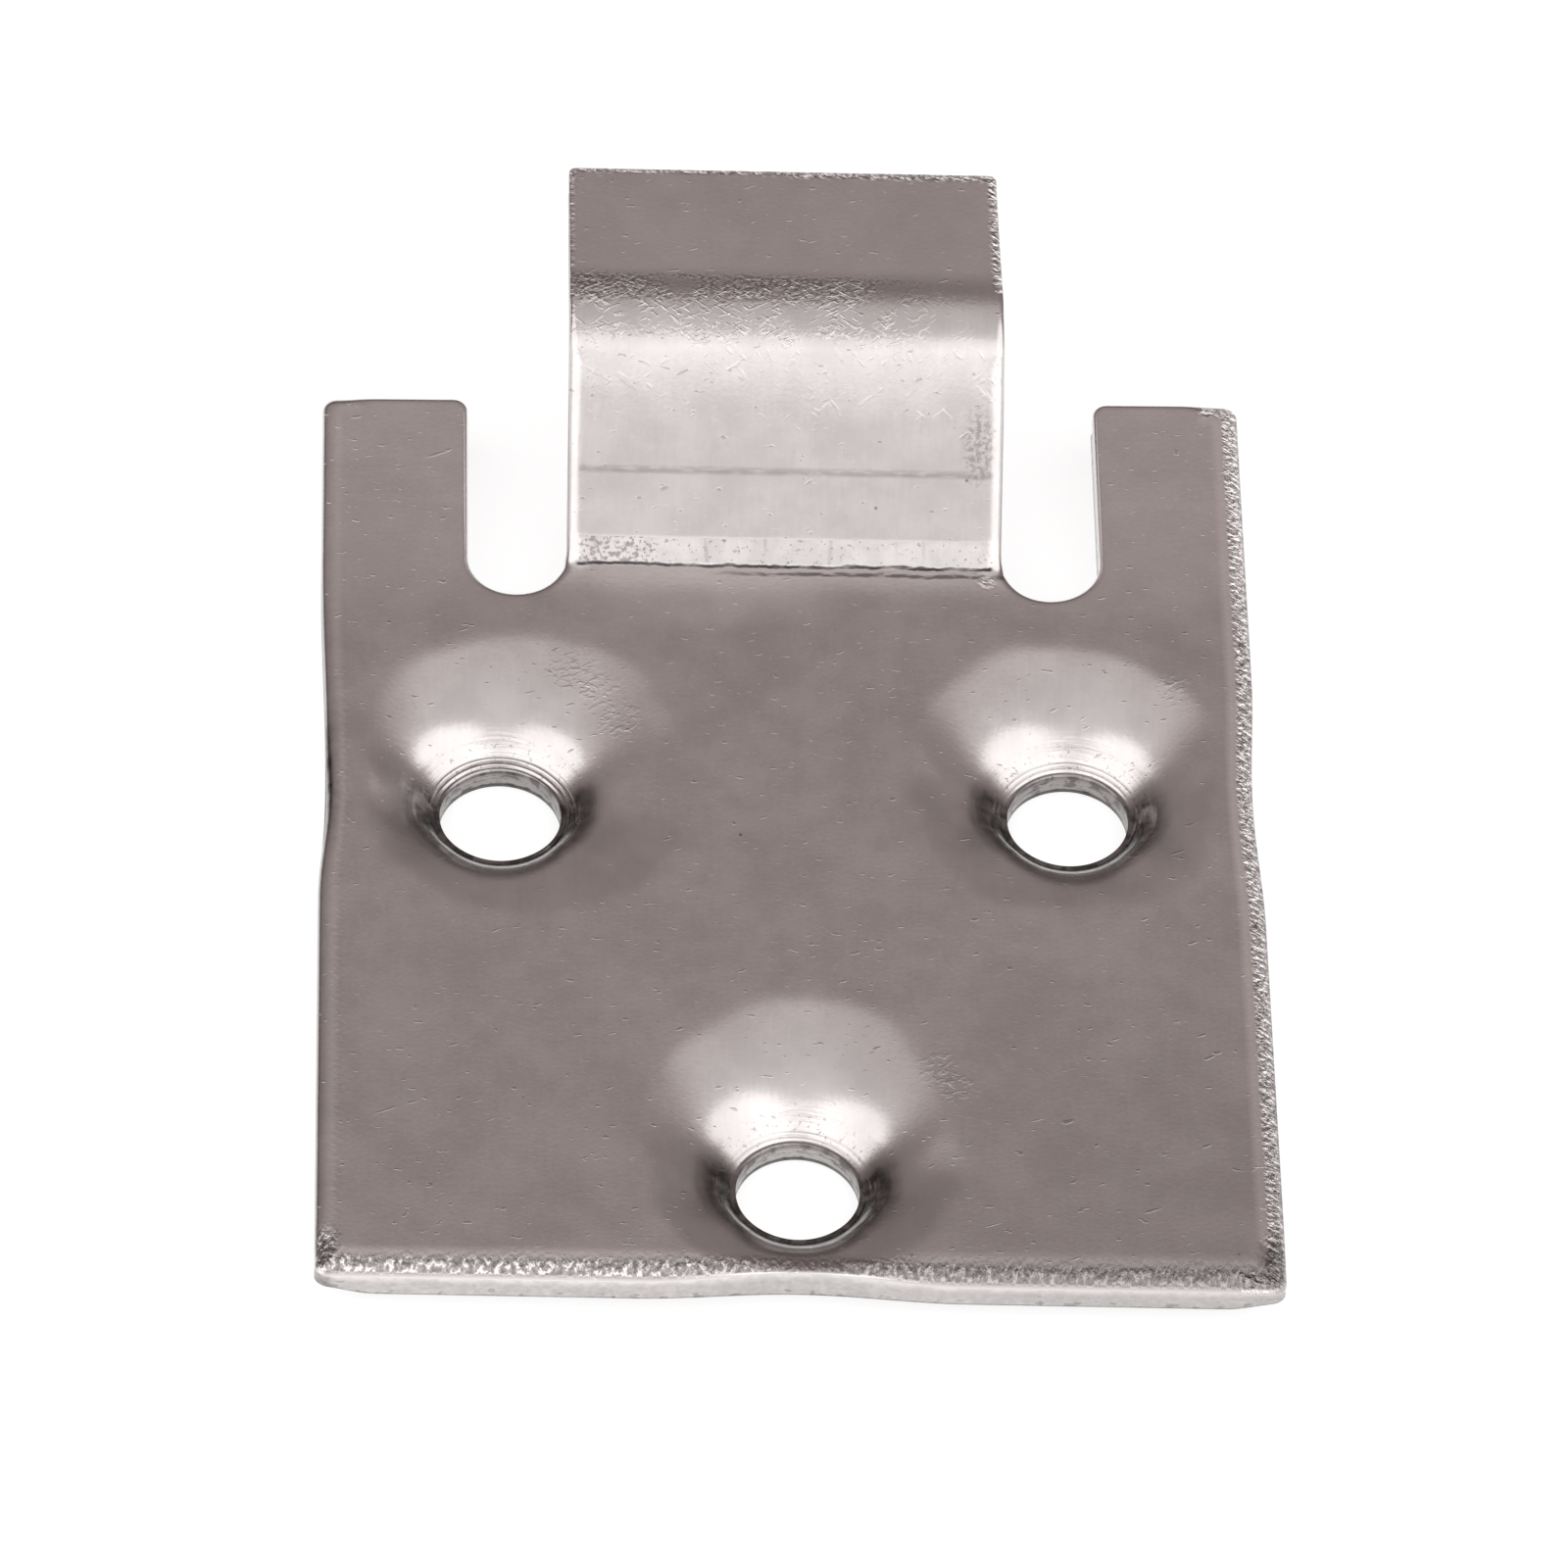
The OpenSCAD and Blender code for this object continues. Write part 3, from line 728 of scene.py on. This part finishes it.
# Small pits and specks of scale, a few to the square centimetre, and light ticks from the tumbler.
pits = add(tree, "TexVoronoi", {"Vector": sheet, "Scale": 0.4, "Randomness": 1.0}).node
pit = soft_step(pits.outputs["Distance"], 0.07, 0.02)
pit = product_of(pit, soft_step(pits.outputs["Color"], 0.72, 0.76))
tone = blend(tone, product_of(pit, 0.7), SCALE)
tone = blend(tone, product_of(ticks, 0.3), GREY)

# The fold's dark crease with a second line before it, the coined band's seams and specks, a smudge, and the
# mark that the die left across the rising face.
strength = soft_step(rough_line, 0.3, 0.55)
crease = total_of(along, product_of(ragged, 0.3), product_of(patchy, 0.5), -0.35)
fold_line = product_of(zone(crease, FOLD + 0.04, FOLD + 0.16, 0.12), zone(across, -14.1, 14.1, 0.3))
fold_line = product_of(fold_line, total_of(product_of(strength, 0.3), 0.65))
second_line = product_of(zone(crease, FOLD - 0.6, FOLD - 0.45, 0.15), zone(across, -2.0, 13.6, 4.0), strength)
tone = blend(tone, fold_line, "#2e2a29")
tone = blend(tone, product_of(second_line, 0.75), SCALE)
on_band = product_of(zone(along, FOLD + 0.25, BAND_END, 0.12), zone(across, -13.9, 13.9, 0.4))
seams = scratches("band_seams")
band_specks = total_of(fine, product_of(spot(*DENSE_SPECKS), 0.12))
band_specks = soft_step(band_specks, 0.6, 0.68)
band_tone = total_of(0.2, soft_step(patchy, 0.4, 0.6, 0.3), most_of(product_of(seams, 0.35), band_specks))
tone = blend(tone, product_of(on_band, band_tone, 0.8), DULL)
smudge = product_of(spot(*SMUDGE), soft_step(fine, 0.42, 0.6))
tone = blend(tone, product_of(smudge, 0.5), GREY)
die_mark = product_of(zone(along, MARK_S, MARK_S + 0.1, 0.35), zone(across, -14.0, 14.0, 0.4))
tone = blend(tone, product_of(die_mark, total_of(strength, 0.5), 0.24), DARK)

# Open grain is dark in its pits and bright on its peaks, and the crest's scratches are bright. The tab's
# level end and the arms are lighter than the plate, and a patch before the fold is a painted reflection of
# the rising face.
grain_pits = product_of(soft_step(open_grain, 0.49, 0.41), worked_grain, 0.9)
tone = blend(tone, product_of(grain_pits, 0.45), "#575352")
tone = blend(tone, product_of(soft_step(open_grain, 0.5, 0.6), worked_grain, 0.7), BURNISHED)
tone = blend(tone, product_of(crest_cuts, 0.35), BURNISHED)
on_level = soft_step(along, level_s, level_s + 1.5)
from_middle = add(tree, "Math", {0: across}, operation="ABSOLUTE")
on_arms = product_of(soft_step(along, 54.0, 62.0), soft_step(from_middle, 17.0, 19.0))
tone = blend(tone, product_of(most_of(on_arms, on_level), 0.42), BURNISHED)
# Painted reflection of the rising face on the plate just before the fold.
tone = blend(tone, product_of(spot(*PAINTED_RAMP_REFLECTION), 0.35), BURNISHED)
tone = blend(tone, product_of(soft_step(crest_grain, 0.52, 0.42), crest_dark, 0.5), "#5f5b5a")

# The near edge's roll is dull with bright tufts, mostly on its left, and rubbed edges are bright. Towards the
# near edge, and more on the right, the whole face is a little darker with painted shade.
near_tone = total_of(0.6, soft_step(across, -20.0, 25.0, 0.3), soft_step(near_dashes, 0.5, 0.38, 0.3))
tone = blend(tone, product_of(near_grain, near_tone), "#6f6b6a")
near_tufts = product_of(near_grain, soft_step(near_dashes, 0.52, 0.6))
near_tufts = product_of(near_tufts, total_of(0.22, soft_step(across, 20.0, -20.0, 0.45)))
tone = blend(tone, near_tufts, BURNISHED)
tone = blend(tone, product_of(rubbed, 0.8), BURNISHED)
tone = blend(tone, product_of(burr, open_grain), BURNISHED)
# Painted shade, growing towards the near edge and to the right.
near_shade = product_of(total_of(0.4, soft_step(across, -20.0, 35.0, 0.6)), soft_step(along, 36.0, 2.0))
tone = blend(tone, product_of(near_shade, 0.3), DULL)

# The cut walls are duller than the faces, with a broken foot. The left one is darker, and so are the walls of
# the tab's level end. Where the left one is drawn in beside the dimple, a painted dark reflection darkens it
# most of all.
on_wall = zone(cut_depth, 0.05, 1.0, 0.04)
tone = blend(tone, product_of(on_wall, total_of(0.05, soft_step(ragged, 0.4, 0.6, 0.25))), "#a5a19f")
wall_foot = product_of(zone(cut_depth, 0.82, 1.0, 0.1), soft_step(rough_line, 0.56, 0.62))
tone = blend(tone, product_of(wall_foot, 0.45), GREY)
whole_wall = zone(cut_depth, 0.02, 1.0, 0.03)
left_wall = product_of(whole_wall, soft_step(across, -30.5, -31.0))
tone = blend(tone, product_of(left_wall, total_of(0.42, soft_step(ragged, 0.45, 0.6, 0.12))), DARK)
# Painted dark reflection on the left wall where it is drawn in beside the dimple.
drawn_wall_dark_reflection = product_of(left_wall, zone(along, 39.5, 45.5, 6.0))
tone = blend(tone, product_of(drawn_wall_dark_reflection, total_of(0.5, soft_step(ragged, 0.4, 0.6, 0.25))), "#2a2625")
tone = blend(tone, product_of(whole_wall, soft_step(along, crest_s, crest_s + 1.0), 0.5), DARK)

# Dirt lies in the punch's grooves and round the holes' rims. Painted shade darkens the near sides of the
# holes and the right rim's outer edge, a painted dark reflection darkens the drawn-in left rim, and a painted
# highlight lies on the near hole's far side. Inside the holes, the punch left a dull band with dark smears
# and a torn foot.
# Painted highlight on the far wall of the near hole's cone.
tone = blend(tone, product_of(spot(*NEAR_HOLE_HIGHLIGHT), 0.25), BURNISHED)
# Dirt in the grooves and round the rims, with painted shade and a painted dark reflection on the holes' near
# sides and the rims.
tone = blend(tone, product_of(dirt_and_painted_shade, total_of(0.7, soft_step(ragged, 0.4, 0.6, 0.25))), "#342e2d")
cone_specks = product_of(soft_step(fine, 0.6, 0.66), soft_step(hole_distance, CONE_R, 5.4))
tone = blend(tone, product_of(cone_specks, 0.5), GREY)
below_lip = soft_step(add(tree, "Math", {0: cut_depth}, operation="ABSOLUTE"), 0.0, 0.01)
in_hole = product_of(soft_step(hole_distance, 5.0, 4.7), below_lip, soft_step(cut_depth, 1.3, 1.1))
torn = total_of(cut_depth, product_of(ragged, 0.2))
tone = blend(tone, product_of(in_hole, total_of(0.5, soft_step(along, 15.0, 35.0, 0.3))), "#8f8a88")
tone = blend(tone, product_of(in_hole, soft_step(ragged, 0.5, 0.62), 0.7), "#5a5453")
tone = blend(tone, product_of(in_hole, zone(torn, 0.84, 1.4, 0.08), 0.8), "#3c3837")
tree.links.new(tone, shader.inputs["Base Color"])

# Tumbled satin: a low roughness of 0.18, a little duller in the clouds and the grain.
rough = total_of(0.18, product_of(fine, 0.06), soft_step(clouds, 0.3, 0.7, 0.03))
tree.links.new(rough, shader.inputs["Roughness"])
mesh.materials.append(steel)

# The studio: a pale sheet of lit acrylic to lie on, a broad soft light overhead and to the front, and a
# darker room behind.
FLOOR_HALF = 3
corners = [(x * FLOOR_HALF, y * FLOOR_HALF, 0) for x, y in ((-1, -1), (1, -1), (1, 1), (-1, 1))]
floor_mesh = bpy.data.meshes.new("studio_floor")
floor_mesh.from_pydata(corners, [], [(0, 1, 2, 3)])
floor = bpy.data.objects.new("studio_floor", floor_mesh)
bpy.context.collection.objects.link(floor)
acrylic = bpy.data.materials.new("lit_white_acrylic")
acrylic.use_nodes = True
acrylic_shader = acrylic.node_tree.nodes["Principled BSDF"]
acrylic_shader.inputs["Base Color"].default_value = linear("#a0a0a0")
acrylic_shader.inputs["Roughness"].default_value = 0.8
acrylic_shader.inputs["Emission Color"].default_value = linear("#ffffff")
acrylic_shader.inputs["Emission Strength"].default_value = 0.72
floor_mesh.materials.append(acrylic)

world = bpy.data.worlds.new("soft_studio")
bpy.context.scene.world = world
world.use_nodes = True
sky = world.node_tree
parts = add(sky, "SeparateXYZ", {"Vector": add(sky, "TexCoord", out="Generated")}).node
forward = add(sky, "Math", {0: parts.outputs["Y"], 1: -1.0}, operation="MULTIPLY")
sweep = add(sky, "Math", {0: parts.outputs["Z"], 1: forward}, operation="ARCTAN2")
sweep = add(sky, "MapRange", {"Value": sweep, "From Min": -math.pi, "From Max": math.pi})
light = add(sky, "ValToRGB", {"Fac": sweep})
# The light's colour and level by degrees: 0 is level in front, 90 overhead, 180 level behind, and below 0 is
# under the horizon. A ramp's colours end at 1, so they are halved and the strength doubled.
HEADROOM = 2.0
STOPS = [
    (-180, "#fffaf9", 0.1),
    (-90, "#fffaf9", 0.6),
    (0, "#fffaf9", 1.05),
    (22, "#fffaf9", 1.05),
    (32, "#fffaf9", 0.98),
    (50, "#fffcfb", 1.0),
    (62, "#fffcfb", 0.95),
    (95, "#fffaf9", 0.88),
    (112, "#fffaf9", 0.85),
    (118, "#fff4f2", 0.83),
    (121, "#fff0ee", 0.62),
    (124, "#ffeeec", 0.45),
    (127, "#ffeeec", 0.385),
    (131, "#ffeeec", 0.35),
    (146, "#ffeeec", 0.34),
    (155, "#ffecea", 0.14),
    (162, "#ffecea", 0.13),
    (172, "#ffeeec", 0.2),
    (180, "#fff5f4", 0.2),
]
ramp = light.node.color_ramp
while len(ramp.elements) < len(STOPS):
    ramp.elements.new(0.5)
for element, (angle, code, level) in zip(ramp.elements, STOPS):
    element.position = (angle + 180) / 360
    element.color = tuple(c * level / HEADROOM for c in linear(code)[:3]) + (1.0,)
sky.links.new(light, sky.nodes["Background"].inputs["Color"])
sky.nodes["Background"].inputs["Strength"].default_value = HEADROOM

# Three soft boxes a metre away: one high on each side, and a smaller one above the camera. Each has its
# direction, its radius in metres and how bright its cloth is.
for name, toward, radius, level in (
    ("left_soft_box", (-0.68, -0.28, 0.7), 0.68, 0.9),
    ("right_soft_box", (0.68, -0.28, 0.7), 0.68, 0.9),
    ("front_soft_box", (0.0, -0.5, 0.866), 0.28, 0.58),
):
    lamp = bpy.data.lights.new(name, "AREA")
    lamp.shape = "DISK"
    lamp.size = 2 * radius
    lamp.energy = level * math.pi * math.pi * radius**2
    box = bpy.data.objects.new(name, lamp)
    box.location = Vector(toward).normalized()
    box.rotation_euler = box.location.to_track_quat("Z", "Y").to_euler()
    bpy.context.collection.objects.link(box)

# The camera looks down on the near edge from the front, a little from the left, with a long lens. Its angles
# are in radians, and its lens, its distance and the place it looks at on the sheet are in millimetres.
AZIMUTH, ELEVATION, ROLL = 0.0652, 0.8817, 0.0602
DISTANCE, LENS, SENSOR = 756.6, 257.31, 36
TARGET_X, TARGET_S = -0.386, 41.70
flat = math.cos(ELEVATION)
view = Vector((math.sin(AZIMUTH) * flat, math.cos(AZIMUTH) * flat, -math.sin(ELEVATION)))
level_right = Vector((math.cos(AZIMUTH), -math.sin(AZIMUTH), 0))
upright = level_right.cross(view)
right = level_right * math.cos(ROLL) + upright * math.sin(ROLL)
up = upright * math.cos(ROLL) - level_right * math.sin(ROLL)
target = Vector((TARGET_X, TARGET_S - MID_Y, FACE_Z))
stand = Matrix.Translation((target - view * DISTANCE) * MM)
lens = bpy.data.cameras.new("studio_camera")
lens.sensor_width = SENSOR
lens.lens = LENS
lens.clip_start = 0.01
camera = bpy.data.objects.new("studio_camera", lens)
camera.matrix_world = stand @ Matrix((right, up, -view)).transposed().to_4x4()
bpy.context.collection.objects.link(camera)
bpy.context.scene.camera = camera
bpy.context.scene.view_settings.view_transform = "Standard"
